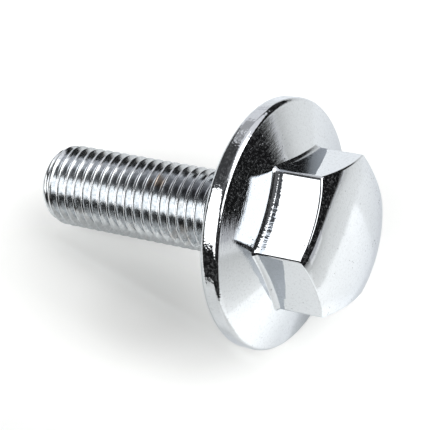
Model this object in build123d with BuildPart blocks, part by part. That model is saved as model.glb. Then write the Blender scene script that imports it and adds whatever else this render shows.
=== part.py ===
"""Steering yoke bolt: a chrome flange bolt with a domed hexagon head and a fine metric thread.

The bolt is one forged piece. It lies as it comes to rest, on the back edge of its flange and on
the rounded tip of its shank. The surface under it is Z = 0, and the origin is below the middle of
its length. The screw axis lies in the XZ plane and rises towards the head, which is at +X. The
shank is drawn at the crest of its thread, and the thread itself belongs to the finish.
"""
import os
from math import asin, atan2, cos, hypot, radians, sin, tan

from build123d import *

os.makedirs("parts", exist_ok=True)

# Shank, threaded M10 x 1.25
thread_diameter = 10.0
shank_length = 30.0          # bearing face to the end of the tip
tip_length = 2.35            # the rounded lead-in, along the shank
tip_drop = 1.15              # how far the lead-in falls below the thread's crest
neck_diameter = 9.2          # the blank under the head, where the thread runs out
neck_length = 2.5
neck_fillet = 0.4            # from the neck to the bearing face

# Flange
flange_diameter = 30.0
rim_height = 2.35            # bearing face to the front edge of the rim
rim_back_radius = 0.8
rim_front_radius = 0.35
flange_slope = 18.0          # rise of the front face towards the head, in degrees

# Head
across_flats = 17.0
hexagon_turn = -4.0          # of one corner about the screw axis, from straight up, in degrees
head_height = 12.0           # bearing face to the crown
crown_radius = 38.0          # of the shallow dome on the end of the head
crown_diameter = 12.0        # where the dome turns into the shoulder
shoulder_radius = 10.3       # rolling down from the dome to the flats
corner_edge_radius = 0.3     # on the six edges between the flats
shoulder_edge_radius = 0.25  # where the flats meet the shoulder
base_fillet = 0.8            # where the hexagon grows out of the flange

# Worked out from the sizes above
thread_radius = thread_diameter / 2
neck_radius = neck_diameter / 2
flange_radius = flange_diameter / 2
slope = radians(flange_slope)
apex_height = rim_height + flange_radius * tan(slope)     # of the front face's cone
neck_step = thread_radius - neck_radius
blank_height = 1.5 * head_height                          # of the prism, before it is turned
blank_radius = 0.6 * across_flats                         # of the turned form, past the corners

# The end of the head: a shallow dome, then the arc of the shoulder, which leaves it without a
# break. Sections are drawn as (distance from the screw axis, height above the bearing face).
crown_angle = asin(crown_diameter / 2 / crown_radius)
crown_end = (crown_diameter / 2, head_height - crown_radius * (1 - cos(crown_angle)))
shoulder_centre = (
    crown_end[0] - shoulder_radius * sin(crown_angle),
    crown_end[1] - shoulder_radius * cos(crown_angle),
)
shoulder_drop = shoulder_radius**2 - (blank_radius - shoulder_centre[0]) ** 2
shoulder_end = (blank_radius, shoulder_centre[1] + shoulder_drop**0.5)

# The bolt rests on two rounds: the arc of the tip, which meets the shank without a break, and the
# back edge of the rim.
end_radius = thread_radius - tip_drop
tip_start = (thread_radius, tip_length - shank_length)
tip_end = (end_radius, -shank_length)
tip_radius = (tip_length**2 + tip_drop**2) / (2 * tip_drop)
tip_centre = (thread_radius - tip_radius, tip_length - shank_length)
rim_centre = (flange_radius - rim_back_radius, rim_back_radius)
rise = rim_centre[0] - tip_centre[0]
run = rim_centre[1] - tip_centre[1]
tilt = atan2(rise, run) + asin((rim_back_radius - tip_radius) / hypot(rise, run))

# The middle of the bearing face, over the resting surface and level with the middle of the length
seat_height = rim_centre[0] * cos(tilt) - rim_centre[1] * sin(tilt) + rim_back_radius
tip_reach = shank_length * cos(tilt) + end_radius * sin(tilt)
crown_reach = shoulder_centre[0] * sin(tilt) + shoulder_centre[1] * cos(tilt) + shoulder_radius
seat_centre = Vector((tip_reach - crown_reach) / 2, 0, seat_height)

# The screw axis and the planes that the sketches lie on. The section plane passes through the
# middle of a flat, so the seams of the turned faces stay clear of the hexagon's corners.
along = Vector(cos(tilt), 0, sin(tilt))
upward = Vector(-sin(tilt), 0, cos(tilt))
screw_axis = Axis(seat_centre, along)
flat_middle = upward.rotate(screw_axis, hexagon_turn + 30)
screw_plane = Plane(origin=seat_centre, x_dir=upward, z_dir=along)
section_plane = Plane(origin=seat_centre, x_dir=flat_middle, z_dir=flat_middle.cross(along))

with BuildPart() as bolt:
    # Head: a hexagon prism, turned to a dome and a rounded shoulder on its end
    with BuildSketch(screw_plane):
        RegularPolygon(across_flats / 2, 6, major_radius=False, rotation=hexagon_turn)
    extrude(amount=blank_height)
    with BuildSketch(section_plane):
        with BuildLine():
            Polyline(shoulder_end, (blank_radius, 0), (0, 0), (0, head_height))
            TangentArc((0, head_height), crown_end, tangent=(1, 0))
            TangentArc(crown_end, shoulder_end, tangent=(cos(crown_angle), -sin(crown_angle)))
        make_face()
    revolve(axis=screw_axis, mode=Mode.INTERSECT)
    fillet(bolt.edges().filter_by(screw_axis), corner_edge_radius)
    shoulder = bolt.faces().filter_by(GeomType.REVOLUTION)
    fillet(shoulder.edges().filter_by(GeomType.CIRCLE, reverse=True), shoulder_edge_radius)

    # Flange and shank: one section, turned about the screw axis
    with BuildSketch(section_plane) as section:
        with BuildLine():
            Polyline(
                tip_end,
                (0, -shank_length),
                (0, apex_height),
                (flange_radius, rim_height),
                (flange_radius, 0),
                (neck_radius, 0),
                (neck_radius, neck_step - neck_length),
                (thread_radius, -neck_length),
                tip_start,
            )
            TangentArc(tip_start, tip_end, tangent=(0, -1))
        make_face()
        fillet(section.vertices().sort_by_distance((flange_radius, 0))[0], rim_back_radius)
        fillet(section.vertices().sort_by_distance((flange_radius, rim_height))[0], rim_front_radius)
        fillet(section.vertices().sort_by_distance((neck_radius, 0))[0], neck_fillet)
    revolve(axis=screw_axis)

    # Blend where the hexagon stands on the flange's conical front face
    front_face = bolt.faces().filter_by(GeomType.CONE).sort_by(SortBy.AREA)[-1]
    seam = front_face.edges().filter_by(GeomType.LINE)
    foot_edges = front_face.edges().filter_by(GeomType.CIRCLE, reverse=True) - seam
    fillet(foot_edges, base_fillet)

bolt.part.label = "bolt"
export_step(bolt.part, "parts/bolt.step")
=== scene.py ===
"""Steering yoke bolt: one forged flange bolt, chrome plated, with a rolled M10 x 1.25 thread."""
from math import asin, atan2, cos, hypot, pi, radians, sin, sqrt, tan
import bmesh
import bpy
from mathutils import Matrix, Vector


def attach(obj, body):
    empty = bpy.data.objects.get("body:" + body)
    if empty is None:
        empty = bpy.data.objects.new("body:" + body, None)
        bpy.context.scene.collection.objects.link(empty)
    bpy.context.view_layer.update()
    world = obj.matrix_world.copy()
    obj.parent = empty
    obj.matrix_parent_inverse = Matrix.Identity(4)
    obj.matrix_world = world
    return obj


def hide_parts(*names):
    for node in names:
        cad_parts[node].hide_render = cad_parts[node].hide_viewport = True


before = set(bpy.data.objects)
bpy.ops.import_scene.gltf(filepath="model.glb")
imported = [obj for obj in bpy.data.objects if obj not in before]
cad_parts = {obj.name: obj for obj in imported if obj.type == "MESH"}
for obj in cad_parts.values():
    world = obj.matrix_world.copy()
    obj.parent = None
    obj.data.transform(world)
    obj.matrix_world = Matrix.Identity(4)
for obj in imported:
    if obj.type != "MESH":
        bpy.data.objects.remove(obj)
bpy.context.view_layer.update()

scene = bpy.context.scene
MM = 0.001
MICRON = 1e-6

# ---------------------------------------------------------------- sizes of the bolt, in mm
# Heights are measured along the screw axis from the bearing face, towards the head
THREAD_RADIUS = 5.0
SHANK_LENGTH = 30.0
TIP_LENGTH = 2.35
TIP_DROP = 1.15
NECK_RADIUS = 4.6
NECK_FILLET = 0.4
NECK_SEAM = -1.2                # where the neck of the flange meets the neck of the thread
FLANGE_RADIUS = 15.0
RIM_HEIGHT = 2.35
RIM_BACK = 0.8
RIM_FRONT = 0.6
SLOPE = radians(18)
HALF_FLATS = 8.5
HEX_TURN = radians(-4)
HEAD_HEIGHT = 12.0
CROWN_RADIUS = 38.0
CROWN_REACH = 6.0
SHOULDER_RADIUS = 10.3
CORNER = 0.6
SHOULDER_EDGE = 0.25
BASE_FILLET = 1.2
FOOT_SHARE = 0.58               # how far the base fillet gets before the cone cuts it off
CONE_TOP = RIM_HEIGHT + FLANGE_RADIUS * tan(SLOPE)

# The end of the head: a shallow dome, then the arc of the shoulder, which leaves it without a break
crown_angle = asin(CROWN_REACH / CROWN_RADIUS)
shoulder_centre = (
    CROWN_REACH - SHOULDER_RADIUS * sin(crown_angle),
    HEAD_HEIGHT - CROWN_RADIUS * (1 - cos(crown_angle)) - SHOULDER_RADIUS * cos(crown_angle),
)

# The thread. Half a tooth runs from the middle of a groove to the crest: (along the shank, radius)
PITCH = 1.25
HALF_TOOTH = [
    (0, 4.235),
    (0.07, 4.243),
    (0.125, 4.283),
    (0.2, 4.41),
    (0.47, 4.878),
    (0.53, 4.965),
    (0.57, 4.992),
    (PITCH / 2, THREAD_RADIUS),
]
FIRST_GROOVE = -29.128          # which sets how the thread is turned on the shank
TURNS = range(-2, 23)           # more than the shank needs; both ends are cut off
STEPS = 144                     # faces round one turn
RUN_OUT = (-4.6, -3.2)          # between these heights the thread sinks into the neck
NECK_END = -2.4
TIP_CUT = -29.85                # where the turned end of the tip takes over from the thread
TIP_RINGS = [(3.85, -29.93), (3.79, -29.98), (3.70, -30), (3.3, -30), (1.6, -30), (0.001, -30)]

# How many rows of faces lie across each form
CROWN_ROWS = 8
SHOULDER_ROWS = 14
EDGE_ROWS = 6
FOOT_ROWS = 9
CORNER_ROWS = 8
FLAT_ROWS = 30
RIM_BACK_ROWS = 10

# The bolt is drawn standing on its tip, with the screw axis straight up, and is laid down last
AXIS = Vector((0, 0, 1))

# How the bolt lies: on the back edge of the rim and on the round of the tip
tip_arc = (TIP_LENGTH**2 + TIP_DROP**2) / (2 * TIP_DROP)
tip_centre = (THREAD_RADIUS - tip_arc, TIP_LENGTH - SHANK_LENGTH)
rim_centre = (FLANGE_RADIUS - RIM_BACK, RIM_BACK)
rise = rim_centre[0] - tip_centre[0]
run = rim_centre[1] - tip_centre[1]
TILT = atan2(rise, run) + asin((RIM_BACK - tip_arc) / hypot(rise, run))
seat_height = rim_centre[0] * cos(TILT) - rim_centre[1] * sin(TILT) + RIM_BACK
tip_reach = SHANK_LENGTH * cos(TILT) + (THREAD_RADIUS - TIP_DROP) * sin(TILT)
crown_reach = shoulder_centre[0] * sin(TILT) + shoulder_centre[1] * cos(TILT) + SHOULDER_RADIUS

# From the bolt's own axes in mm (upward, sideways, along the screw) to the frame in metres
along = Vector((cos(TILT), 0, sin(TILT)))
upward = Vector((-sin(TILT), 0, cos(TILT)))
sideways = along.cross(upward)
seat = Vector(((tip_reach - crown_reach) / 2, 0, seat_height)) * MM
bolt_axes = Matrix((upward, sideways, along)).transposed().to_4x4()
LIE = Matrix.Translation(seat) @ bolt_axes @ Matrix.Scale(MM, 4)


# ---------------------------------------------------------------- camera
CAMERA_PLACE = Vector((59.636, -111.362, 209.845)) * MM
CAMERA_WAY = Vector((-0.24729, 0.47313, -0.84557)).normalized()
CAMERA_ROLL = radians(-2.32)
LENS = 164.76


def aim_camera():
    data = bpy.data.cameras.new("camera")
    data.lens = LENS
    data.sensor_width = 36
    data.clip_start = 0.01
    data.clip_end = 20
    camera = bpy.data.objects.new("camera", data)
    scene.collection.objects.link(camera)
    turn = CAMERA_WAY.to_track_quat("-Z", "Y").to_matrix().to_4x4()
    roll = Matrix.Rotation(CAMERA_ROLL, 4, "Z")
    camera.matrix_world = Matrix.Translation(CAMERA_PLACE) @ turn @ roll
    scene.camera = camera


aim_camera()


# ---------------------------------------------------------------- head and flange
def hexagon_ribs():
    """Round the hexagon: (point on the corner centres' outline, outward direction)."""
    ribs = []
    reach = (HALF_FLATS - CORNER) / cos(pi / 6)
    # Shares along a flat, with one more close to each end
    shares = [0.006] + [i / FLAT_ROWS for i in range(1, FLAT_ROWS)] + [0.994]
    for k in range(6):
        corner = HEX_TURN + k * pi / 3
        centre = Vector((cos(corner), sin(corner), 0)) * reach
        following = Vector((cos(corner + pi / 3), sin(corner + pi / 3), 0)) * reach
        for j in range(CORNER_ROWS + 1):
            a = corner + pi / 3 * (j / CORNER_ROWS - 0.5)
            ribs.append((centre, Vector((cos(a), sin(a), 0))))
        face = Vector((cos(corner + pi / 6), sin(corner + pi / 6), 0))
        for t in shares:
            ribs.append((centre.lerp(following, t), face))
    return ribs


def crown_and_shoulder(away, lean):
    """From the middle of the dome to just short of the flat's upper edge, one way out."""
    line = []
    for i in range(CROWN_ROWS + 1):
        a = crown_angle * i / CROWN_ROWS
        drop = CROWN_RADIUS * (1 - cos(a))
        line.append(away * CROWN_RADIUS * sin(a) + AXIS * (HEAD_HEIGHT - drop))
    for t in [i / SHOULDER_ROWS for i in range(1, SHOULDER_ROWS)] + [0.99]:
        a = crown_angle + (lean - crown_angle) * t
        radius = shoulder_centre[0] + SHOULDER_RADIUS * sin(a)
        line.append(away * radius + AXIS * (shoulder_centre[1] + SHOULDER_RADIUS * cos(a)))
    return line


def head_line(base, out):
    """From the crown of the dome over one rib of the hexagon to the foot of the base fillet."""
    # The small round between shoulder and flat
    ball = base + out * (CORNER - SHOULDER_EDGE)
    away = ball.normalized()
    lean = asin((ball.length - shoulder_centre[0]) / (SHOULDER_RADIUS - SHOULDER_EDGE))
    line = crown_and_shoulder(away, lean)
    ball.z = shoulder_centre[1] + (SHOULDER_RADIUS - SHOULDER_EDGE) * cos(lean)
    lift = away * sin(lean) + AXIS * cos(lean)
    for i in range(EDGE_ROWS + 1):
        line.append(ball + SHOULDER_EDGE * lift.slerp(out, i / EDGE_ROWS))
    side_top = line[-1]

    # The base fillet. The turned cone cuts it off before it has levelled out
    ball = base + out * (CORNER + BASE_FILLET)
    away = ball.normalized()
    cone_normal = away * sin(SLOPE) + AXIS * cos(SLOPE)
    foot = BASE_FILLET * (-out).slerp(-cone_normal, FOOT_SHARE)
    ball.z = CONE_TOP - (ball + foot).xy.length * tan(SLOPE) - foot.z
    side_foot = ball - out * BASE_FILLET
    # Down the flat, with a row close to each end of it
    for t in (0.008, 0.33, 0.66, 0.992):
        line.append(side_top.lerp(side_foot, t))
    for t in [i / FOOT_ROWS for i in range(FOOT_ROWS)] + [0.985, 1]:
        line.append(ball + BASE_FILLET * (-out).slerp(-cone_normal, FOOT_SHARE * t))
    return line


def flange_section():
    """(radius, height) from the front face of the flange round the rim to the neck."""
    round_end = pi / 2 - SLOPE
    ball = FLANGE_RADIUS - RIM_FRONT
    ball_height = CONE_TOP - ball * tan(SLOPE) - RIM_FRONT / cos(SLOPE)
    section = []
    for i in range(EDGE_ROWS + 1):
        a = round_end * (1 - i / EDGE_ROWS)
        section.append((ball + RIM_FRONT * cos(a), ball_height + RIM_FRONT * sin(a)))
    # The rim's side, just inside both of its rounds
    section += [(FLANGE_RADIUS, ball_height - 0.03), (FLANGE_RADIUS, RIM_BACK + 0.03)]
    for i in range(RIM_BACK_ROWS + 1):
        a = -pi / 2 * i / RIM_BACK_ROWS
        section.append((rim_centre[0] + RIM_BACK * cos(a), rim_centre[1] + RIM_BACK * sin(a)))
    # The bearing face
    for radius in (14.1, 12.0, 10.0, 8.0, 6.5, 5.1):
        section.append((radius, 0))
    for i in range(EDGE_ROWS + 1):
        a = pi / 2 + pi / 2 * i / EDGE_ROWS
        radius = NECK_RADIUS + NECK_FILLET + NECK_FILLET * cos(a)
        section.append((radius, -NECK_FILLET + NECK_FILLET * sin(a)))
    section.append((NECK_RADIUS, NECK_SEAM))
    return section


def head_and_flange(bm):
    """One grid, wrapped round the axis. Each row runs from the crown to the neck."""
    section = flange_section()
    rim_start = section[0][0]
    lines = []
    for base, out in hexagon_ribs():
        line = head_line(base, out)
        foot = line[-1]
        angle = atan2(foot.y, foot.x)
        start = hypot(foot.x, foot.y)
        # Down the cone, with a row close to each end of it
        for t in (0.01, 0.15, 0.3, 0.5, 0.75, 0.99):
            radius = start + (rim_start - start) * t
            height = CONE_TOP - radius * tan(SLOPE)
            line.append(Vector((radius * cos(angle), radius * sin(angle), height)))
        for radius, height in section:
            line.append(Vector((radius * cos(angle), radius * sin(angle), height)))
        lines.append(line)
    lines.append(lines[0])
    rows = len(lines[0])
    grid = bmesh.ops.create_grid(bm, x_segments=rows - 1, y_segments=len(lines) - 1, size=1)
    made = grid["verts"]
    for i, vert in enumerate(made):
        vert.co = lines[i // rows][i % rows]
    bmesh.ops.remove_doubles(bm, verts=made, dist=0.0005)


# ---------------------------------------------------------------- thread
def smooth(t):
    t = min(max(t, 0), 1)
    return t * t * (3 - 2 * t)


def threaded_radius(radius, height):
    """The thread, held inside the round of the tip and run out into the neck."""
    height = max(height, -SHANK_LENGTH)
    if height < tip_centre[1]:
        radius = min(radius, tip_centre[0] + sqrt(tip_arc**2 - (height - tip_centre[1]) ** 2))
    fade = smooth((height - RUN_OUT[0]) / (RUN_OUT[1] - RUN_OUT[0]))
    return radius + (NECK_RADIUS - radius) * fade


def screw_thread(part):
    """The profile of all the turns, spun once round the axis while it climbs by one pitch."""
    tooth = HALF_TOOTH + [(PITCH - z, radius) for z, radius in HALF_TOOTH[-2:0:-1]]
    last = None
    for turn in TURNS:
        for z, radius in tooth:
            vert = part.verts.new((radius, 0, FIRST_GROOVE + PITCH * turn + z))
            if last:
                part.edges.new((last, vert))
            last = vert
    bmesh.ops.spin(
        part,
        geom=part.verts[:] + part.edges[:],
        cent=(0, 0, 0),
        axis=(0, 0, 1),
        dvec=(0, 0, PITCH / STEPS),
        angle=2 * pi,
        steps=STEPS,
        use_merge=False,
        use_duplicate=False,
    )
    bmesh.ops.remove_doubles(part, verts=part.verts, dist=0.002)
    for vert in part.verts:
        radius = hypot(vert.co.x, vert.co.y)
        scale = threaded_radius(radius, vert.co.z) / radius
        vert.co.x *= scale
        vert.co.y *= scale


def close_tip(part):
    """Rings that follow on from the cut thread to the flat end of the tip."""
    rim = [e for e in part.edges if e.is_boundary and e.verts[0].co.z < tip_centre[1]]
    for radius, height in TIP_RINGS:
        made = bmesh.ops.extrude_edge_only(part, edges=rim)["geom"]
        ring = [g for g in made if isinstance(g, bmesh.types.BMVert)]
        for vert in ring:
            away = hypot(vert.co.x, vert.co.y)
            vert.co = (vert.co.x / away * radius, vert.co.y / away * radius, height)
        rim = [g for g in made if isinstance(g, bmesh.types.BMEdge)]
    bmesh.ops.remove_doubles(part, verts=ring, dist=0.01)


def shank(bm):
    part = bmesh.new()
    screw_thread(part)
    for height, outward in ((TIP_CUT, -1), (NECK_END, 1)):
        bmesh.ops.bisect_plane(
            part,
            geom=part.verts[:] + part.edges[:] + part.faces[:],
            dist=1e-6,
            plane_co=(0, 0, height),
            plane_no=(0, 0, outward),
            clear_outer=True,
        )
    close_tip(part)
    mesh = bpy.data.meshes.new("shank")
    part.to_mesh(mesh)
    part.free()
    bm.from_mesh(mesh)
    bpy.data.meshes.remove(mesh)


def make_bolt():
    bm = bmesh.new()
    head_and_flange(bm)
    shank(bm)
    bmesh.ops.bridge_loops(bm, edges=[e for e in bm.edges if e.is_boundary])
    bmesh.ops.recalc_face_normals(bm, faces=bm.faces)
    for face in bm.faces:
        face.smooth = True
    bmesh.ops.transform(bm, matrix=LIE, verts=bm.verts)
    mesh = bpy.data.meshes.new("bolt_plated")
    bm.to_mesh(mesh)
    bm.free()
    bolt = bpy.data.objects.new("bolt_plated", mesh)
    scene.collection.objects.link(bolt)
    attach(bolt, "root")
    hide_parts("bolt")
    return bolt


bolt = make_bolt()


# ---------------------------------------------------------------- how finishes are written
class Value:
    """A number inside a material, so that the material's maths is written as plain expressions."""

    def __init__(self, tree, socket):
        self.tree = tree
        self.socket = socket

    def maths(self, operation, *values):
        node = self.tree.nodes.new("ShaderNodeMath")
        node.operation = operation
        for place, value in zip(node.inputs, values):
            if isinstance(value, Value):
                self.tree.links.new(value.socket, place)
            else:
                place.default_value = value
        return Value(self.tree, node.outputs[0])

    def __add__(self, other):
        return self.maths("ADD", self, other)

    __radd__ = __add__

    def __sub__(self, other):
        return self.maths("SUBTRACT", self, other)

    def __rsub__(self, other):
        return self.maths("SUBTRACT", other, self)

    def __mul__(self, other):
        return self.maths("MULTIPLY", self, other)

    __rmul__ = __mul__

    def __pow__(self, other):
        return self.maths("POWER", self, other)

    def __abs__(self):
        return self.maths("ABSOLUTE", self)

    def most(self, other):
        return self.maths("MAXIMUM", self, other)

    def angle(self, other):
        return self.maths("ARCTAN2", self, other)


class Finish:
    """A material, or the room's light, on its way: its nodes are added one by one to its shader."""

    def __init__(self, name, kind=bpy.data.materials, shader="Principled BSDF"):
        self.made = kind.new(name)
        self.made.use_nodes = True
        self.tree = self.made.node_tree
        self.shader = self.tree.nodes[shader]

    def add(self, kind, settings=None, values=None, out=0):
        node = self.tree.nodes.new(kind)
        for key, setting in (settings or {}).items():
            setattr(node, key, setting)
        for key, value in (values or {}).items():
            self.put(node.inputs[key], value)
        return Value(self.tree, node.outputs[out])

    def put(self, place, value):
        if isinstance(value, Value):
            self.tree.links.new(value.socket, place)
        else:
            place.default_value = value

    def give(self, values):
        for name, value in values.items():
            self.put(self.shader.inputs[name], value)

    def vector(self, operation, first, second=None, out="Value"):
        values = {0: first} if second is None else {0: first, 1: second}
        return self.add("ShaderNodeVectorMath", {"operation": operation}, values, out)

    def dot(self, first, second):
        return self.vector("DOT_PRODUCT", first, second)

    def point(self, x, y, z):
        return self.add("ShaderNodeCombineXYZ", {}, {0: x, 1: y, 2: z})

    def blend(self, share, first, second):
        return self.add("ShaderNodeMix", {"data_type": "RGBA"}, {0: share, 6: first, 7: second}, 2)

    def ramp(self, value, low, high):
        """From 0 where the value is low to 1 where it is high, eased at both ends."""
        return self.add(
            "ShaderNodeMapRange",
            {"interpolation_type": "SMOOTHSTEP"},
            {"Value": value, "From Min": low, "From Max": high},
        )

    def pool(self, place, middle, near, wide):
        """1 round the middle, fading to 0 between the two distances."""
        return 1 - self.ramp(self.vector("DISTANCE", place, middle), near, wide)

    def noise(self, vector, scale, detail=2.0, rough=0.5):
        values = {"Vector": vector, "Scale": scale, "Detail": detail, "Roughness": rough}
        return self.add("ShaderNodeTexNoise", {}, values)

    def specks(self, vector, scale):
        """Distance to the nearest of many scattered spots."""
        return self.add("ShaderNodeTexVoronoi", {}, {"Vector": vector, "Scale": scale}, "Distance")


def tint(r, g, b):
    return (r, g, b, 1)


BLACK = tint(0, 0, 0)
WHITE = tint(1, 1, 1)


# ---------------------------------------------------------------- chrome plating
def chrome_plating():
    f = Finish("chrome_plating")
    place = f.add("ShaderNodeTexCoord", out="Object")
    away = f.vector("SUBTRACT", place, seat, 0)
    # In mm: along the screw axis from the bearing face, and across it
    height = f.dot(away, along / MM)
    over = f.dot(away, upward / MM)
    side = f.dot(away, sideways / MM)
    radius = (over * over + side * side) ** 0.5
    turn = side.angle(over)
    spot = f.point(over, side, height)

    on_thread = 1 - f.ramp(height, NECK_END - 0.5, NECK_END + 0.1)
    on_rim = f.ramp(radius, FLANGE_RADIUS - RIM_FRONT, FLANGE_RADIUS - 0.25)
    on_cone = f.ramp(radius, 9.6, 10.2) * (1 - on_rim) * f.ramp(height, 0.5, 1.0)

    # The blend at the hexagon's foot: how far out from its sides, and how high over the cone
    faces = [HEX_TURN + pi / 6 + k * pi / 3 for k in range(3)]
    reaches = [abs(over * cos(a) + side * sin(a)) for a in faces]
    out_from_flats = reaches[0].most(reaches[1]).most(reaches[2]) - HALF_FLATS
    over_cone = height - CONE_TOP + radius * tan(SLOPE)
    on_foot = (1 - f.ramp(over_cone, 1.1, 1.7)) * f.ramp(over_cone, 0.2, 0.4)
    on_foot = on_foot * (1 - f.ramp(out_from_flats, 0.05, 0.15))
    on_foot = on_foot * f.ramp(radius, HALF_FLATS - 0.5, HALF_FLATS - 0.1)

    ripple = f.noise(spot, 0.55)
    grain = f.noise(spot, 9.0, 2.0, 0.7)
    mottle = f.noise(spot, 2.4, 4.0, 0.65)
    # Marks of turning round the cone, and of the brush along the head
    rings = f.noise(f.point(radius * 3.2, turn * 5, 0), 1.0, 4.0, 0.65)
    brush = f.noise(f.point(over * 1.7, side * 1.7, height * 0.6), 2.2, 1.0, 0.6)

    # Heights of the surface in thousandths of a millimetre
    relief = ripple * 6 + grain * 0.16
    relief = relief + on_cone * (rings * 6 + f.noise(spot, 3.2, 2.0, 0.6) * 1.6)
    relief = relief + on_foot * brush * 14
    relief = relief + on_rim * (f.noise(spot, 1.5) * 8 + f.noise(spot, 3.0, 1.0, 0.6) * 12)
    relief = relief + on_thread * (grain * 3 + mottle * 6)
    dented = 1 - f.ramp(f.specks(spot, 1.15), 0.0, 0.14)
    relief = relief - dented * (1 - on_thread) * 5
    bump = {"Strength": 1.0, "Distance": MICRON, "Height": relief}
    normal = f.add("ShaderNodeBump", {}, bump)

    # Pits in the plating, in a few patches, and fewer on the cone
    pitted = 1 - f.ramp(f.specks(spot, 1.6), 0.08, 0.17)
    pitted = pitted * f.ramp(f.noise(spot, 0.35, 1.0), 0.56, 0.60) * (1 - 0.8 * on_cone)
    plated = f.blend(pitted, tint(0.615, 0.638, 0.658), tint(0.16, 0.16, 0.17))

    # Fine dust and hairlines, which show where the chrome mirrors something dark
    dust = f.ramp(f.noise(spot, 3.4, 3.0, 0.7), 0.48, 0.74) * 0.16
    dust = dust + on_cone * f.ramp(rings, 0.52, 0.74) * 0.07

    # The thread is duller, with brown stains; painted shade darkens it along its top towards the
    # head, where the flange shades it
    painted_head_shade = f.ramp(side, -1.6, -0.2) * (1 - f.ramp(side, 0.9, 1.9))
    painted_head_shade = painted_head_shade * f.ramp(over, 0.0, 2.0) * f.ramp(height, -26.0, -9.0)
    stain = f.vector("DISTANCE", spot, (4.9, 0.3, -13.2)) + mottle
    brown = f.ramp(f.noise(spot, 0.28), 0.60, 0.70) * 0.35 + (1 - f.ramp(stain, 1.0, 1.7)) * 0.85
    dull_and_painted_shade = f.blend(f.ramp(mottle, 0.35, 0.65), tint(0.53, 0.555, 0.575), tint(0.68, 0.70, 0.715))
    # Painted shade on the top of the thread towards the head
    dull_and_painted_shade = f.blend(painted_head_shade * 0.7, dull_and_painted_shade, tint(0.17, 0.175, 0.19))
    dull_and_painted_shade = f.blend(brown, dull_and_painted_shade, tint(0.36, 0.30, 0.25))

    rough = 0.035 + on_rim * 0.03 + on_thread * (0.07 + mottle * 0.12) + pitted * 0.3
    f.give({
        "Base Color": f.blend(on_thread, plated, dull_and_painted_shade),
        "Metallic": 1 - dust * (1 - on_thread),
        "Roughness": rough,
        "Normal": normal,
        "Specular Tint": tint(0.70, 0.72, 0.76),
    })
    return f.made


bolt.data.materials.append(chrome_plating())


# ---------------------------------------------------------------- table
def glossy_white():
    """The table's white with painted shade on it, and how bright it is to look at and to mirror.
    Places are in metres.
    """
    f = Finish("glossy_white_table")
    place = f.add("ShaderNodeTexCoord", out="Object")
    seen = f.add("ShaderNodeLightPath", out="Is Camera Ray")
    mirrored = f.add("ShaderNodeLightPath", out="Is Glossy Ray")
    far = f.vector("LENGTH", place)
    right = f.dot(place, (1, 0, 0))
    back = f.dot(place, (0, 1, 0))
    front = f.dot(place, (0, -1, 0))

    # Painted shade: greyer far away and towards the back, where the light falls off, and darker in
    # front of the shank
    well_right = f.ramp(right, 0.028, 0.045)
    # Painted shade in front of the shank, weaker towards the right
    painted_front_shade = f.ramp(front, 0.014, 0.032) * (1 - 0.55 * f.ramp(right, -0.006, 0.012))
    painted_front_shade = painted_front_shade * (1 - well_right)
    white_and_painted_shade = 0.93 - 0.35 * f.ramp(far, 0.10, 0.50) - 0.10 * f.ramp(back, 0.10, 0.30)
    # Painted shade in front of the shank, and a painted patch of the bolt's shadow there
    white_and_painted_shade = white_and_painted_shade - 0.25 * painted_front_shade - 0.09 * f.pool(place, (-0.004, -0.0102, 0), 0.002, 0.009)

    # Glare that only the bolt mirrors
    sheen = 0.38 * f.ramp(far, 0.010, 0.035) * (1 - f.ramp(far, 0.06, 0.38)) * (1 - painted_front_shade)
    sheen = sheen * (1 - 0.45 * f.ramp(front, 0.010, 0.018) * (1 - well_right))
    sheen = sheen * (1 - 0.42 * f.pool(place, (0.110, -0.004, 0), 0.040, 0.075))
    sheen = sheen + 0.30 * f.pool(place, (-0.009, 0.062, 0), 0.008, 0.026)
    sheen = sheen + 0.26 * f.pool(place, (0.026, -0.008, 0), 0.005, 0.013)
    sheen = sheen + 0.20 * f.pool(place, (0.009, -0.013, 0), 0.002, 0.006)
    strip = f.ramp(front, 0.010, 0.016) * (1 - f.ramp(right, 0.10, 0.14))
    sheen = sheen + 0.25 * well_right * strip

    # Glow that only the camera sees, fading out under the bolt in a long oval
    oval = {"Vector": place, "Location": (0.0054, 0.0163, 0), "Scale": (0.721, 1.671, 1)}
    aside = f.vector("LENGTH", f.add("ShaderNodeMapping", {}, oval))
    glow = mirrored * sheen + seen * (0.02 + f.ramp(aside, 0.005, 0.0225) * 0.25)
    f.give({
        "Base Color": f.blend(white_and_painted_shade, BLACK, tint(0.993, 1, 0.982)),
        "Roughness": 0.09,
        "IOR": 1.6,
        "Emission Color": f.blend(glow, BLACK, WHITE),
        "Emission Strength": 1.0,
    })
    return f.made


def stage_piece(name, bm, finish):
    mesh = bpy.data.meshes.new(name)
    bm.to_mesh(mesh)
    bm.free()
    mesh.materials.append(finish)
    made = bpy.data.objects.new(name, mesh)
    scene.collection.objects.link(made)
    return made


def lay_table():
    bm = bmesh.new()
    bmesh.ops.create_grid(bm, x_segments=1, y_segments=1, size=1.5)
    table = stage_piece("table", bm, glossy_white())


# ---------------------------------------------------------------- cards and soft boxes
def show_card(name, bm, shade):
    """Only reflections show a card. Its shade is how bright it is, where 1 is white."""
    f = Finish(name)
    f.give({
        "Base Color": BLACK,
        "Roughness": 1.0,
        "Specular IOR Level": 0.0,
        "Emission Color": tint(shade, shade, shade * 1.04),
        "Emission Strength": 1.0,
    })
    made = stage_piece(name, bm, f.made)
    made.visible_camera = False
    made.visible_diffuse = False
    made.visible_shadow = False
    made.visible_transmission = False


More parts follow.
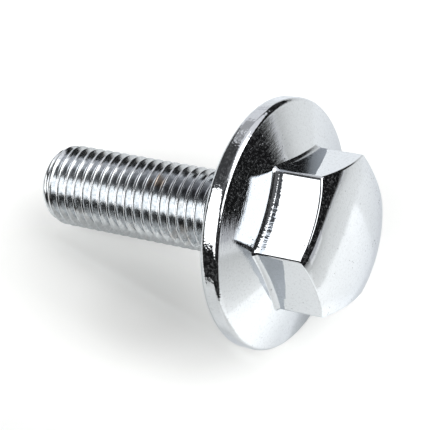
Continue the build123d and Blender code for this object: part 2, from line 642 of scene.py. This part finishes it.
def card(name, azimuths, reach, heights, shade):
    """A bent card that stands round the bolt, between two azimuths and two elevations in degrees."""
    bm = bmesh.new()
    start = radians(azimuths[0])
    x, y = reach * cos(start), reach * sin(start)
    foot = bm.verts.new((x, y, reach * tan(radians(heights[0]))))
    head = bm.verts.new((x, y, reach * tan(radians(heights[1]))))
    edge = bm.edges.new((foot, head))
    sweep = radians(azimuths[1] - azimuths[0])
    bmesh.ops.spin(bm, geom=[foot, head, edge], axis=(0, 0, 1), angle=sweep, steps=24)
    show_card(name, bm, shade)


def cloth(name, low, high, shade):
    """A card that lies just above the table, between two corners."""
    bm = bmesh.new()
    bmesh.ops.create_grid(bm, x_segments=1, y_segments=1, size=0.5)
    bmesh.ops.scale(bm, vec=(high[0] - low[0], high[1] - low[1], 1), verts=bm.verts)
    middle = ((low[0] + high[0]) / 2, (low[1] + high[1]) / 2, 0.6 * MM)
    bmesh.ops.translate(bm, vec=middle, verts=bm.verts)
    show_card(name, bm, shade)


def soft_box(name, azimuth, elevation, distance, size, glow, roll=0):
    """A rectangular lamp that faces the bolt, with angles in degrees and its face's brightness."""
    lamp = bpy.data.lights.new(name, "AREA")
    lamp.shape = "RECTANGLE"
    lamp.size, lamp.size_y = size
    lamp.energy = glow * pi * size[0] * size[1]
    made = bpy.data.objects.new(name, lamp)
    scene.collection.objects.link(made)
    az, el = radians(azimuth), radians(elevation)
    way = Vector((cos(az) * cos(el), sin(az) * cos(el), sin(el)))
    turn = (-way).to_track_quat("-Z", "Y").to_matrix().to_4x4()
    roll = Matrix.Rotation(radians(roll), 4, "Z")
    made.matrix_world = Matrix.Translation(way * distance) @ turn @ roll
    made.visible_camera = False


ROOM_LIGHT = 0.12


def light_room():
    """White to look at and to be mirrored, and a low even light on whatever stands in it."""
    f = Finish("studio", bpy.data.worlds, "Background")
    seen = f.add("ShaderNodeLightPath", out="Is Camera Ray")
    mirrored = f.add("ShaderNodeLightPath", out="Is Glossy Ray")
    f.give({"Color": WHITE, "Strength": ROOM_LIGHT + seen.most(mirrored) * (1 - ROOM_LIGHT)})
    scene.world = f.made


lay_table()

# The room's walls and ceiling, with a white sheet hung at the back
card("wall_dark", (-180, 180), 0.75, (0, 24), 0.01)
card("ceiling_left", (150, 385), 0.9, (20, 84), 0.14)
card("ceiling_back", (25, 150), 0.9, (20, 84), 0.40)
card("sheet_back", (32, 138), 0.8, (21, 64), 1.0)
card("sheet_left", (138, 145), 0.8, (32, 64), 1.0)
card("wall_pale", (112, 138), 0.48, (0, 15), 1.0)
card("wall_upper", (112, 138), 0.48, (15, 26), 0.50)
card("wall_grey", (138, 150), 0.48, (0, 26), 0.18)

# Black flags, which give the chrome its dark bands
card("flag_far", (-30, 78), 0.50, (0, 21), 0.01)
card("flag_left", (147, 192), 0.45, (0, 45), 0.06)
card("flag_front", (-126, -100), 0.30, (0, 10), 0.01)
card("flag_front_right", (-100, -14), 0.30, (0, 25), 0.01)
card("flag_camera", (-72, -22), 0.30, (25, 80), 0.03)
card("flag_top", (-104, -72), 0.30, (59, 80), 0.03)
card("flag_over", (-22, -13), 0.30, (52, 80), 0.03)
card("flag_under", (-22, -13), 0.30, (20, 37), 0.03)
cloth("cloth_left", (-0.42, -0.30), (0.05, -0.078), 0.01)
cloth("cloth_right", (0.05, -0.30), (0.45, -0.092), 0.01)

# Strips of light, low over the table
card("edge_right", (-4, 60), 0.25, (0, 1), 0.6)
card("edge_front", (-4, 13), 0.249, (0, 3), 0.6)

soft_box("soft_box_right", 12, 42, 0.72, (0.66, 0.44), 2.8)
soft_box("soft_box_back", 62, 68, 0.70, (0.50, 0.40), 1.9)
soft_box("soft_box_left", -120, 39, 0.62, (1.0, 0.50), 2.6, 20)
light_room()
scene.view_settings.view_transform = "Standard"
